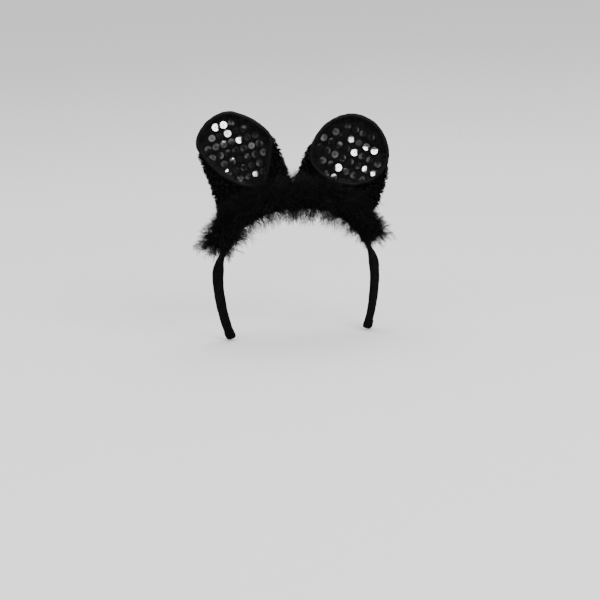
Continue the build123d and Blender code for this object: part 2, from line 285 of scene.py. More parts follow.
BRIGHT = metal("sequin_bright", (0.66, 0.66, 0.67), (0.76, 0.76, 0.78), 0.05)
SMOKED = metal("sequin_smoked", (0.40, 0.39, 0.40), (0.50, 0.49, 0.51), 0.10)
THREAD = material("thread", (0.005, 0.005, 0.006), 0.9, specular=0.06)
WIRE = metal("wire_steel", (0.5, 0.5, 0.52), (0.6, 0.6, 0.62), 0.25)
PILES = [material("pile_deep", (0.005, 0.005, 0.005), 0.8, specular=0.09),
         material("pile_black", (0.008, 0.008, 0.008), 0.7, specular=0.16),
         material("pile_sheen", (0.014, 0.014, 0.015), 0.6, specular=0.28)]
DOWNS = [material("down_deep", (0.005, 0.005, 0.005), 0.85, specular=0.09),
         material("down_black", (0.008, 0.008, 0.008), 0.8, specular=0.14),
         material("down_wisp", (0.014, 0.0135, 0.013), 0.7, specular=0.2)]

# ---------------------------------------------------------------- making meshes


def piece(name, points, faces, materials, side=1, tidy=True, kinds=None):
    """A new object in metres from points in millimetres, mirrored for the left-hand side.

    tidy turns its faces outwards, and kinds gives the material of each face.
    """
    points = np.array(points, float).reshape(-1, 3) * MM
    faces = faces.tolist() if hasattr(faces, "tolist") else faces
    if side < 0:
        points[:, 0] *= -1
        faces = [face[::-1] for face in faces]
    mesh = bpy.data.meshes.new(name)
    mesh.from_pydata(points.tolist(), [], faces)
    for made in materials:
        mesh.materials.append(made)
    if kinds is not None:
        mesh.polygons.foreach_set("material_index", np.asarray(kinds, dtype=np.int32))
    if tidy:
        work = bmesh.new()
        work.from_mesh(mesh)
        bmesh.ops.recalc_face_normals(work, faces=work.faces)
        work.to_mesh(mesh)
        work.free()
    mesh.shade_smooth()
    obj = bpy.data.objects.new(name, mesh)
    bpy.context.scene.collection.objects.link(obj)
    return obj


def skin(rings, closed=False, caps=True):
    """Faces over rings of points: (points, faces). closed joins the last ring to the first."""
    rings = np.asarray(rings, float)
    count, around = rings.shape[:2]
    number = np.arange(count * around).reshape(count, around)
    here = number if closed else number[:-1]
    there = np.roll(number, -1, axis=0) if closed else number[1:]
    quads = np.stack((here, np.roll(here, -1, 1), np.roll(there, -1, 1), there), -1).reshape(-1, 4)
    faces = quads.tolist()
    if caps and not closed:
        faces += [number[0][::-1].tolist(), number[-1].tolist()]
    return rings.reshape(-1, 3), faces


def unit(vectors):
    return vectors / np.maximum(np.linalg.norm(vectors, axis=-1, keepdims=True), 1e-9)


def turns(count):
    """Angles all the way round, evenly spaced."""
    return np.linspace(0, 2 * pi, count, endpoint=False)


def circle(turn, first, second):
    """The direction at each angle, from the first axis towards the second."""
    return np.cos(turn)[:, None] * first + np.sin(turn)[:, None] * second


def strands(paths, radii, taper=0.55):
    """Closed tapered three-sided threads along paths (count, steps, 3): (points, faces, faces in each)."""
    count, steps = paths.shape[:2]
    heading = unit(np.gradient(paths, axis=1))
    side = unit(np.cross(heading, np.array((0.37, 0.53, 0.76))))
    other = np.cross(heading, side)
    share = np.linspace(1.0, taper, steps - 1)
    reach = (np.asarray(radii, float).reshape(-1, 1) * share)[..., None]
    rings = []
    for k in range(3):
        turn = 2 * pi * k / 3
        rings.append(paths[:, :-1] + reach * (cos(turn) * side[:, :-1] + sin(turn) * other[:, :-1]))
    rings = np.stack(rings, 2).reshape(count, -1, 3)
    points = np.concatenate((rings, paths[:, -1:]), 1)
    pattern = [(2, 1, 0)]
    for k in range(steps - 2):
        for a, b in ((0, 1), (1, 2), (2, 0)):
            low, high = 3 * k, 3 * k + 3
            pattern += [(low + a, low + b, high + b), (low + a, high + b, high + a)]
    last = 3 * (steps - 2)
    pattern += [(last + a, last + b, 3 * (steps - 1)) for a, b in ((0, 1), (1, 2), (2, 0))]
    pattern = np.array(pattern)
    faces = pattern[None] + (np.arange(count) * points.shape[1])[:, None, None]
    return points.reshape(-1, 3), faces.reshape(-1, 3), len(pattern)


def sewn(name, paths, radius, side=1):
    """Stitches of thread along short paths."""
    points, faces, _ = strands(np.array(paths), np.full(len(paths), radius), taper=0.9)
    return piece(name, points, faces, [THREAD], side)


def gather(parts):
    """Joins several (points, faces) into one."""
    points, faces, start = [], [], 0
    for some, more in parts:
        points.append(np.asarray(some, float).reshape(-1, 3))
        faces.append(np.asarray(more) + start)
        start += len(points[-1])
    return np.concatenate(points), np.concatenate(faces)


def roughen(obj, *layers):
    """Moves points along their normals by noise: (size of the lumps, depth, seed) in millimetres."""
    mesh = obj.data
    normals = [Vector(n.vector) for n in mesh.vertex_normals]
    for point, normal in zip(mesh.vertices, normals):
        for size, depth, seed in layers:
            place = point.co / (size * MM) + Vector((seed, 0.7 * seed, -seed))
            point.co += normal * (noise.noise(place) * depth * MM)


def distances(places):
    """How far along the line through the places each of them is."""
    return np.concatenate(([0], np.cumsum(np.linalg.norm(np.diff(places, axis=0), axis=1))))


def enclosed(curve):
    """The area inside a closed curve, negative where it runs clockwise."""
    ahead = np.roll(curve, -1, axis=0)
    return 0.5 * np.sum(curve[:, 0] * ahead[:, 1] - ahead[:, 0] * curve[:, 1])


def closed_curve(points, count):
    """A smooth closed curve through the points, evenly divided."""
    given = np.array(points, float)
    dense = []
    for k in range(len(given)):
        a, b, c, d = (given[(k + j - 1) % len(given)] for j in range(4))
        for t in np.linspace(0, 1, 24, endpoint=False):
            dense.append(0.5 * ((2 * b) + (c - a) * t + (2 * a - 5 * b + 4 * c - d) * t**2
                                + (3 * b - a - 3 * c + d) * t**3))
    dense = np.array(dense + [dense[0]])
    run = distances(dense)
    at = np.linspace(0, run[-1], count, endpoint=False)
    curve = np.stack([np.interp(at, run, dense[:, k]) for k in range(2)], 1)
    return curve if enclosed(curve) > 0 else curve[::-1]


def inset(edge, distance):
    """The closed curve moved inwards."""
    heading = np.roll(edge, -1, 0) - np.roll(edge, 1, 0)
    inward = unit(np.stack((-heading[:, 1], heading[:, 0]), 1))
    return edge + inward * distance


def in_ear(u, v, w):
    """Points in space from places in the right ear's own plane."""
    u, v, w = (np.asarray(x, float)[..., None] for x in (u, v, w))
    return FOOT + ALONG * u + UP * v + FRONT * w


# ---------------------------------------------------------------- the band


def facing(angle):
    """The direction outwards from the band's middle, at this angle from its top."""
    return np.array((sin(radians(angle)), 0.0, cos(radians(angle))))


def band_middle(angle):
    """The crown's round arc, then each arm's bend and its nearly straight run."""
    if angle <= FLEX_AT:
        return facing(angle) * BAND_R
    bend = facing(min(angle, BEND_TO)) - facing(FLEX_AT)
    run = facing(max(angle, BEND_TO)) - facing(BEND_TO)
    return facing(FLEX_AT) * BAND_R + bend * BEND_R + run * ARM_R


def band_frame(angle):
    """Where the band faces this way: its middle, and the directions across its width and outwards."""
    share = min(max((angle - TWIST_FROM) / TWIST_OVER, 0.0), 1.0)
    twist = radians(ARM_TWIST) * share * share * (3 - 2 * share)
    across = np.array((0.0, cos(twist), 0.0)) + facing(angle) * sin(twist)
    outward = facing(angle) * cos(twist) - np.array((0.0, sin(twist), 0.0))
    return band_middle(angle), across, outward


def band_angles(start, end, step):
    """Angles along the band, evenly spaced in millimetres."""
    fine = np.linspace(start, end, 600)
    places = np.array([band_middle(angle) for angle in fine])
    run = distances(places)
    return np.interp(np.linspace(0, run[-1], max(int(run[-1] / step), 2)), run, fine)


def band_width(angle):
    """The same width round the crown, then narrower towards the tip."""
    return BAND_WIDTH + (TIP_WIDTH - BAND_WIDTH) * (max(angle - FLEX_AT, 0.0) / (TIP_AT - FLEX_AT)) ** 2


def oblong(width, thick, count=28, square=0.4):
    """A flattened ring of points, with rounded corners: (across, outward)."""
    c, s = np.cos(turns(count)), np.sin(turns(count))
    across = width / 2 * np.sign(c) * np.abs(c) ** square
    outward = thick / 2 * np.sign(s) * np.abs(s) ** (1.6 * square)
    return np.stack((across, outward), 1)


def band_rings(angles, section, shift=0.0):
    """Rings along the band: section(angle) gives (across, outward) points, and shift moves them outwards."""
    rings = []
    for angle in angles:
        middle, across, outward = band_frame(angle)
        flat = section(angle)
        rings.append(middle + flat[:, :1] * across + (flat[:, 1:] + shift) * outward)
    return np.array(rings)


def across_flex(obj):
    """Bakes the piece's placement into its points; it does not bend at the arm's flex."""
    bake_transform(obj)


def make_sleeve(side):
    """The cloth sleeve from the middle of the crown to the tip, puckered along its edges."""
    rng = np.random.default_rng(11 + SIDES[side])
    pucker = rng.normal(0, 1, 400)

    def section(angle):
        flat = oblong(band_width(angle), COVER_T)
        swell = 0.10 * pucker[int(angle * 2)] * (np.abs(flat[:, 0]) / (band_width(angle) / 2)) ** 4
        flat[:, 1] += np.sign(flat[:, 1]) * swell
        return flat

    points, faces = skin(band_rings(band_angles(-0.3, TIP_AT + 0.1, 0.55), section))
    sleeve = piece(f"{side}_sleeve", points, faces, [VELVET], SIDES[side])
    roughen(sleeve, (9.0, 0.28, 3.0 + SIDES[side]), (2.2, 0.10, 8.0 + SIDES[side]))
    across_flex(sleeve)
    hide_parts(f"{side}_arm_cover")


def make_ribbon(side):
    """The ribbon inside the sleeve, and the stitches along its two edges."""
    end = TIP_AT - 2.4
    sink = -(COVER_T / 2 + 0.22)

    def width(angle):
        return RIBBON_WIDTH * band_width(angle) / BAND_WIDTH

    def section(angle):
        flat = oblong(width(angle), 0.42, 16, 0.25)
        flat[:, 1] += 0.10 * sin(angle * 3.1) * (flat[:, 0] / width(angle)) ** 2
        return flat

    points, faces = skin(band_rings(band_angles(0, end, 0.7), section, sink))
    ribbon = piece(f"{side}_ribbon", points, faces, [RIBBON], SIDES[side])
    across_flex(ribbon)
    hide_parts(f"{side}_arm_ribbon")
    paths = []
    spots = band_angles(1.0, end - 1.0, 0.6)
    for edge in (-1, 1):
        for first in range(0, len(spots) - 3, 5):
            run = []
            seam = width(spots[first]) / 2 - 0.8
            for k, lift in enumerate((0.0, -0.16, -0.17, 0.0)):
                middle, across, outward = band_frame(spots[first + k])
                run.append(middle + across * edge * seam + outward * (sink - 0.18 + lift))
            paths.append(run)
    across_flex(sewn(f"{side}_ribbon_stitches", paths, 0.16, SIDES[side]))


def make_tip(side):
    """The folded cloth end cap, with a lip where it laps over the sleeve and a slanting fold on its face."""
    start, end = TIP_AT - 2.15, TIP_AT + 0.45
    lean = 1 if side == "right" else -1

    def section(angle):
        along = (angle - start) / (end - start)
        lip = 0.35 * max(0.0, 1 - along * 9) if along > 0.03 else 0.1
        round_off = (1 - max(0.0, (along - 0.72) / 0.28) ** 2.4) ** 0.5 if along < 1 else 0.0
        bulge = 0.45 * sin(pi * min(along * 1.2, 1.0))
        flat = oblong((TIP_WIDTH + 1.0 + lip + bulge) * (0.35 + 0.65 * round_off),
                      (COVER_T + 1.1 + lip + bulge) * (0.12 + 0.88 * round_off), 36, 0.5)
        fold = 1 / (1 + np.exp(-(flat[:, 0] * lean + 9 * (along - 0.45)) * 2.2))
        flat[:, 1] += 0.38 * fold * (flat[:, 1] > 0) * round_off
        return flat

    points, faces = skin(band_rings(np.linspace(start, end, 40), section))
    tip = piece(f"{side}_tip", points, faces, [VELVET], SIDES[side])
    roughen(tip, (3.0, 0.30, 5.0 + SIDES[side]))
    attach(tip, f"{side}_arm")
    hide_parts(f"{side}_arm_tip")
    paths = []
    lift = COVER_T / 2
    middle, across, outward = band_frame(start + 0.05)
    middle_far, across_far, outward_far = band_frame(start - 0.45)
    for k in range(7):
        edge = -3.6 + 1.2 * k
        paths.append([middle + across * edge + outward * (lift + 0.55),
                      (middle + middle_far) / 2 + across * (edge + 0.3) + outward * (lift + 0.62),
                      middle_far + across_far * (edge + 0.5) + outward_far * (lift - 0.1)])
    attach(sewn(f"{side}_tip_stitches", paths, 0.17, SIDES[side]), f"{side}_arm")


for name in SIDES:
    make_sleeve(name)
    make_ribbon(name)
    make_tip(name)
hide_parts("crown_cover")
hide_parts("crown_ribbon")

# ---------------------------------------------------------------- the ears' feet


def make_pad(side):
    """The felt pad between the band and the ear's hem."""
    low, high = box_mm("right_ear_base_pad")
    lip = (FOOT - 1.5 * UP) @ UP
    rings = []
    for x in np.linspace(low[0], high[0], 40):
        top = (lip - x * UP[0]) / UP[2]
        bottom = (COVER_OUT_R**2 - x**2) ** 0.5 - 0.1
        flat = oblong(high[1] - low[1], top - bottom, 32, 0.35)
        trough = 4.4 * np.exp(-(flat[:, 0] / 4.2) ** 4) * (flat[:, 1] > 0)
        rings.append(np.stack((np.full(32, x), flat[:, 0], flat[:, 1] + (top + bottom) / 2 - trough), 1))
    points, faces = skin(rings)
    pad = piece(f"{side}_pad", points, faces, [FELT], SIDES[side])
    roughen(pad, (3.5, 0.35, 2.0 + SIDES[side]))
    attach(pad, "crown")
    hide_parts(f"{side}_ear_base_pad")


def make_hem(side):
    """The ear's cloth rolled up at its foot, with the roll's edge showing as a step."""
    low, high = box_mm("right_ear_base_hem")
    thick = (high[1] - low[1]) / 2
    reach = (high[0] - low[0]) / ALONG[0] / 2 - thick * UP[0]
    middle = ((low[0] + high[0]) / 2 - FOOT[0]) / ALONG[0]
    turn = turns(40)
    rings = []
    for along in np.linspace(-reach, reach, 60):
        end = (1 - (abs(along) / (reach + 0.4)) ** 14) ** 0.5
        radius = (thick - 0.9 + 0.8 * ((turn - 0.9) % (2 * pi)) / (2 * pi)) * (0.3 + 0.7 * end)
        rings.append(in_ear(np.full(len(turn), middle + along), radius * np.sin(turn), radius * np.cos(turn)))
    points, faces = skin(rings)
    hem = piece(f"{side}_hem", points, faces, [BACKING], SIDES[side])
    roughen(hem, (4.0, 0.3, 6.0 + SIDES[side]))
    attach(hem, f"{side}_ear")
    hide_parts(f"{side}_ear_base_hem")


for name in SIDES:
    make_pad(name)
    make_hem(name)

# ---------------------------------------------------------------- the ears' plush


def dish(share):
    """How far forward the panel lies, from its middle (0) to its edge (1)."""
    return PANEL_RIM - PANEL_DISH * (1 - share**4)


def with_foot(obj):
    """Bakes the piece's placement into its points; it does not bend at the ear's fold line."""
    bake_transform(obj)


def panel_share(side, flat):
    """How far each place is from the panel's middle (0) to the ear's outer edge (1), its direction, and how far
    the edge is that way."""
    edge = closed_curve(EDGES[side], EDGE_STEPS) - EAR_MIDDLE[side]
    polar = np.arctan2(edge[:, 1], edge[:, 0])
    order = np.argsort(polar)
    away = np.asarray(flat, float) - EAR_MIDDLE[side]
    toward = np.arctan2(away[..., 1], away[..., 0])
    reach = np.interp(toward, polar[order], np.hypot(edge[:, 0], edge[:, 1])[order], period=2 * pi)
    return np.hypot(away[..., 0], away[..., 1]) / reach, toward, reach


def plush_surface(side):
    """The plush body as rings of (u, v, w): a front hollowed to take the panel, and a back that bulges."""
    edge = closed_curve(BODIES[side], BODY_STEPS)
    middle = np.array(BODY_MIDDLE[side])
    place = in_ear(edge[:, 0], edge[:, 1], np.zeros(len(edge)))
    near = np.clip((24.0 - np.hypot(place[:, 0], place[:, 2]) + COVER_OUT_R) / 18.0, 0, 1)
    back_edge = 2.5 - 9.0 * near * near * (3 - 2 * near)
    layers = []
    shares = [sin(pi / 2 * k / BODY_RINGS) for k in range(1, BODY_RINGS + 1)]
    for share in shares:
        flat = middle + (edge - middle) * share
        seat = dish(np.minimum(panel_share(side, flat)[0], 1.0)) - 1.2
        layers.append(np.column_stack((flat, np.minimum(5.6 + 1.9 * (1 - share**6), seat))))
    for share in shares[::-1]:
        flat = middle + (edge - middle) * share
        swell = (1 - share**3) ** 0.6
        layers.append(np.column_stack((flat, back_edge + (-15.0 - back_edge) * swell)))
    return layers


def scatter(points, faces, count, rng):
    """Random places on triangles and quads, evenly by area: (places, normals)."""
    triangles = np.array([face[k:k + 1] + face[k + 1:k + 1] + [face[0], face[k + 1], face[k + 2]]
                          for face in faces for k in range(len(face) - 2)])[:, -3:]
    a, b, c = (points[triangles[:, k]] for k in range(3))
    normals = np.cross(b - a, c - a)
    size = np.linalg.norm(normals, axis=1)
    chosen = rng.choice(len(triangles), count, p=size / size.sum())
    x, y = rng.random((2, count, 1))
    flip = x + y > 1
    x, y = np.where(flip, 1 - x, x), np.where(flip, 1 - y, y)
    places = a[chosen] + (b - a)[chosen] * x + (c - a)[chosen] * y
    return places, unit(normals[chosen])


def make_plush(side):
    """The plush shell: a stuffed cloth body with short pile that lies in locks."""
    rng = np.random.default_rng(40 + SIDES[side])
    layers = plush_surface(side)
    rings = np.array([in_ear(*layer.T) for layer in layers])
    points, faces = skin(rings)
    body = piece(f"{side}_plush_body", points, faces, [BACKING], SIDES[side])
    roughen(body, (14.0, 1.2, 4.0 + SIDES[side]), (5.0, 0.6, 9.0 + SIDES[side]))
    with_foot(body)
    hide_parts(f"{side}_ear_plush", f"{side}_ear_stuffing")

    middle = in_ear(*np.append(BODY_MIDDLE[side], -4.0))
    places, normals = scatter(points, faces, 3 * LOCKS, rng)
    outwards = np.sign(np.einsum("ij,ij->i", normals, places - middle))
    normals = normals * outwards[:, None]
    u, v, w = (places - FOOT) @ ALONG, (places - FOOT) @ UP, (places - FOOT) @ FRONT
    inside = panel_share(side, np.stack((u, v), 1))[0] < 0.95
    height = np.hypot(places[:, 0], places[:, 2]) - COVER_OUT_R
    keep = ~((w > 2.0) & inside) & (height > 0.3)
    places, normals = places[keep][:LOCKS], normals[keep][:LOCKS]
    count = len(places)

    drift = np.array([noise.noise(Vector(p) / 11.0) for p in places])
    lean = unit(normals + rng.normal(0, 0.28, (count, 3)) - 0.22 * UP + 0.25 * drift[:, None] * ALONG)
    length = rng.uniform(2.6, 4.3, count) * (1 + 0.25 * drift)
    tips = places + lean * length[:, None]
    paths, kinds = [], []
    for _ in range(HAIRS):
        root = places + np.cross(normals, rng.normal(0, 1, (count, 3))) * 0.85
        tip = tips + rng.normal(0, 0.35, (count, 3))
        bend = (root + tip) / 2 + normals * (0.35 * length[:, None]) * rng.uniform(0.3, 0.8, (count, 1))
        paths.append(np.stack((root - normals * 0.5, bend, tip), 1))
        kinds.append(rng.choice(3, count, p=(0.35, 0.45, 0.2)))
    paths, kinds = np.concatenate(paths), np.concatenate(kinds)
    points, faces, each = strands(paths, rng.uniform(0.24, 0.42, len(paths)), taper=0.7)
    pile = piece(f"{side}_plush_pile", points, faces, PILES, SIDES[side], tidy=False,
                 kinds=np.repeat(kinds, each))
    with_foot(pile)


for name in SIDES:
    make_plush(name)

# ---------------------------------------------------------------- the ears' panels


def make_panel(side):
    """The dished cloth panel, puckered towards its edge."""
    rng = np.random.default_rng(60 + SIDES[side])
    edge = inset(closed_curve(EDGES[side], EDGE_STEPS), 1.8)
    middle = np.array(EAR_MIDDLE[side])
    gathers = rng.normal(0, 1, EDGE_STEPS // 4)
    pucker = np.interp(np.arange(EDGE_STEPS), np.arange(0, EDGE_STEPS + 1, 4), np.append(gathers, gathers[0]))
    layers = []
    for face in (1, -1):
        shares = np.linspace(0.03, 1, 16)
        for share in shares if face > 0 else shares[::-1]:
            flat = middle + (edge - middle) * share
            depth = dish(share) + 0.45 * pucker * share**9 - (0 if face > 0 else 0.5)
            layers.append(in_ear(flat[:, 0], flat[:, 1], depth))
    points, faces = skin(layers)
    panel = piece(f"{side}_panel", points, faces, [PANEL], SIDES[side])
    roughen(panel, (6.0, 0.3, 1.0 + SIDES[side]))
    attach(panel, f"{side}_ear")
    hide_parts(f"{side}_ear_panel")


def make_binding(side):
    """The satin binding rolled round the panel's wire, gathered where it turns, and its stitches."""
    rng = np.random.default_rng(70 + SIDES[side])
    edge = closed_curve(EDGES[side], EDGE_STEPS)
    gather_up = rng.normal(0, 1, EDGE_STEPS)
    roll = [(cos(a), sin(a)) for a in np.linspace(radians(-145), radians(145), 17)]
    profile = [(WIRE_INSET - 2.1 * x, WIRE_FORWARD + 1.95 * y) for x, y in roll]
    profile += [(reach, dish(1 - reach / EAR_REACH) + lift) for reach, lift in FLANGE]
    profile = np.array(profile)
    near = np.clip(1 - np.abs(profile[:, 0] - FLANGE[0][0]) / 4, 0, 1)
    rings = []
    for k in range(EDGE_STEPS):
        heading = edge[(k + 1) % EDGE_STEPS] - edge[k - 1]
        outward = np.array((heading[1], -heading[0])) / np.hypot(*heading)
        pinch = 1 + 0.03 * gather_up[k]
        flat = edge[k] - outward * profile[:, :1] * pinch
        rings.append(in_ear(flat[:, 0], flat[:, 1], profile[:, 1] + 0.22 * near * gather_up[k]))
    points, faces = skin(rings, closed=True)
    binding = piece(f"{side}_binding", points, faces, [SATIN], SIDES[side])
    roughen(binding, (5.0, 0.35, 7.0 + SIDES[side]))
    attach(binding, f"{side}_ear")
    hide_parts(f"{side}_ear_binding")

    seam = inset(edge, SEAM_INSET)
    cloth = dish(1 - SEAM_INSET / EAR_REACH)
    paths = []
    for k in range(0, EDGE_STEPS, 2):
        a, b = seam[k], seam[(k + 1) % EDGE_STEPS]
        run = [a, a + (b - a) * 0.35, a + (b - a) * 0.7, b]
        paths.append([in_ear(*place, cloth + lift) for place, lift in zip(run, (0.5, 0.85, 0.85, 0.5))])
    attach(sewn(f"{side}_binding_stitches", paths, 0.17, SIDES[side]), f"{side}_ear")


def sequin_places(side):
    """Where the sequins are: a slanting grid, kept clear of the binding, most of all at the top."""
    pitch, rise, slope, lean, (u0, v0) = GRIDS[side]
    slope, lean = radians(slope), radians(lean)
    spots = []
    for row in range(-7, 8):
        for column in range(-7, 8):
            u = u0 + column * pitch * cos(slope) - row * rise * sin(lean)
            v = v0 + column * pitch * sin(slope) + row * rise * cos(lean)
            share, toward, reach = panel_share(side, (u, v))
            if (1 - share) * reach > SEQUIN_CLEAR + SEQUIN_CLEAR_TOP * sin(toward):
                spots.append((u, v, share, toward, (column, row) in SHINING[side]))
    return spots


def make_sequins(side):
    """Domed mirror sequins, each tilted its own way on the dished cloth, with the thread that holds it."""
    rng = np.random.default_rng(80 + SIDES[side])
    shine = unit(np.array(SHINE[side]))
    turn = turns(22)
    parts, kinds, knots, threads = [], [], [], []
    for u, v, share, toward, shines in sequin_places(side):
        slope = 4 * PANEL_DISH * share**3 / EAR_REACH
        tilt = rng.normal(0, 0.07, 2)
        normal = unit(FRONT + ALONG * (tilt[0] - slope * cos(toward)) + UP * (tilt[1] - slope * sin(toward)))
        if shines:
            normal = unit(shine + rng.normal(0, 0.018, 3))
        elif normal @ shine > SHINE_NEAR:
            normal = unit(normal - 0.14 * UP)
        cloth = unit(FRONT - slope * (ALONG * cos(toward) + UP * sin(toward)))
        x = unit(ALONG - normal * (ALONG @ normal))
        y = np.cross(normal, x)
        sag = rng.uniform(0.04, 0.13)
        size = rng.uniform(0.97, 1.03)
        middle = in_ear(u, v, dish(share) + 0.5 + 3.4 * np.linalg.norm(np.cross(cloth, normal)))
        rings = []
        ring = circle(turn, x, y)
        for back in (False, True):
            for radius in SEQUIN_RADII[::-1] if back else SEQUIN_RADII:
                lift = sag * (1 - (radius / SEQUIN_RADII[-1]) ** 2) - (0.12 if back else 0.0)
                rings.append(middle + ring * radius * size + normal * lift)
        parts.append(skin(rings, closed=True))
        kinds.append(0 if rng.random() < 0.7 else 1)
        knot = []
        for radius, lift in ((0.25, -0.7), (0.36, 0.0), (0.50, 0.10), (0.48, 0.22), (0.28, 0.32), (0.05, 0.35)):
            lobes = radius * (1 + 0.18 * np.cos(2 * turn[::2] + 3 * u))
            knot.append(middle + lobes[:, None] * circle(turn[::2], x, y) + normal * (sag + lift - 0.05))
        knots.append(skin(knot, caps=False))
        way = rng.uniform(0, 2 * pi)
        path = []
        for reach in (0.3, 1.7, 3.0, 3.75):
            lift = sag * (1 - (reach / SEQUIN_RADII[-1]) ** 2) + (0.16 if reach < SEQUIN_RADII[-1] else -0.3)
            path.append(middle + reach * (cos(way) * x + sin(way) * y) + normal * lift)
        threads.append(path)
    points, faces = gather(parts)
    each = len(parts[0][1])
    sequins = piece(f"{side}_sequins", points, faces, [BRIGHT, SMOKED], SIDES[side],
                    kinds=np.repeat(kinds, each))
    sequins.data.set_sharp_from_angle(angle=radians(35))
    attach(sequins, f"{side}_ear")
    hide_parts(f"{side}_ear_sequins")
    points, faces = gather(knots)
    tied = piece(f"{side}_knots", points, faces, [THREAD], SIDES[side])
    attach(tied, f"{side}_ear")
    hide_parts(f"{side}_ear_threads")
    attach(sewn(f"{side}_sequin_threads", threads, 0.13, SIDES[side]), f"{side}_ear")


def make_wire(side):
    """The steel wire inside the binding, with its gap at the ear's foot."""
    path = inset(closed_curve(EDGES[side], EDGE_STEPS), WIRE_INSET)
    gap = int(np.argmin(path[:, 1]))
    path = np.roll(path, -gap - 4, axis=0)[:-8]
    heading = unit(np.gradient(path, axis=0))
    turn = turns(10)
    rings = []
    for place, way in zip(path, heading):
        flat = place + WIRE_R * np.cos(turn)[:, None] * np.array((way[1], -way[0]))
        rings.append(in_ear(flat[:, 0], flat[:, 1], WIRE_FORWARD + WIRE_R * np.sin(turn)))
    points, faces = skin(rings)
    wire = piece(f"{side}_wire", points, faces, [WIRE], SIDES[side])
    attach(wire, f"{side}_ear")
    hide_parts(f"{side}_ear_wire")


for name in SIDES:
    make_wire(name)
    make_binding(name)
    make_panel(name)
    make_sequins(name)

# ---------------------------------------------------------------- the marabou trim


def down_path(share):
    """The middle of the trim's down: (radius, y, thickness) from its middle (0) to its end (1)."""
    ease = share * share * (3 - 2 * share)
    return (DOWN_R - 4.0 + 4.5 * ease, DOWN_Y + (END_Y - DOWN_Y) * ease,
            DOWN_THICK + (END_THICK - DOWN_THICK) * ease)


def plumes(roots, headings, lengths, barbs, rng):
    """Downy feathers: a curling shaft each, with barbs to both sides. Returns shaft and barb paths."""
    count = len(roots)
    side = unit(np.cross(headings, rng.normal(0, 1, (count, 3))))
    plane = np.cross(headings, side)
    curl = plane * (lengths * rng.uniform(-0.35, 0.35, count))[:, None]
    curl += side * (lengths * rng.uniform(-0.3, 0.3, count))[:, None]
    drop = np.array((0, 0, -1.0)) * (0.012 * lengths**2)[:, None]

    def at(t):
        return roots + headings * (lengths * t)[:, None] + (curl + drop) * (t**2)[:, None]

    shafts = np.stack([at(np.full(count, t)) for t in np.linspace(0, 1, 5)], 1)
    paths = []
    for k in range(barbs):
        t = np.clip((k + rng.random(count)) / barbs, 0.05, 0.98)
        base = at(t)
        tangent = unit(headings * lengths[:, None] + 2 * (curl + drop) * t[:, None])
        away = side * (1 if k % 2 else -1)
        fuller = np.sin(pi * np.clip(0.12 + 0.8 * t, 0, 1)) ** 0.6
        long = lengths * BARB_SIZE * fuller * rng.uniform(0.6, 1.25, count)
        way = unit(0.6 * tangent + 0.8 * away + rng.normal(0, 0.32, (count, 3)))
        mid = base + way * (long * 0.5)[:, None] + plane * (long * rng.uniform(-0.15, 0.15, count))[:, None]
        tip = (base + way * (long * 0.82)[:, None] + tangent * (long * 0.3)[:, None]
               + rng.normal(0, 0.13, (count, 3)) * long[:, None] - np.array((0, 0, 0.10)) * long[:, None])
        paths.append(np.stack((base, mid, tip), 1))
    return shafts, np.concatenate(paths)


def pressed(paths):
    """The paths with their reach pressed in, so that the down keeps close round the band."""
    for axis, way, free, limit in PRESSES:
        over = np.maximum(way * paths[..., axis] - free, 0.0)
        paths[..., axis] -= way * (over - (limit - free) * (1 - np.exp(-over / (limit - free))))
    return paths


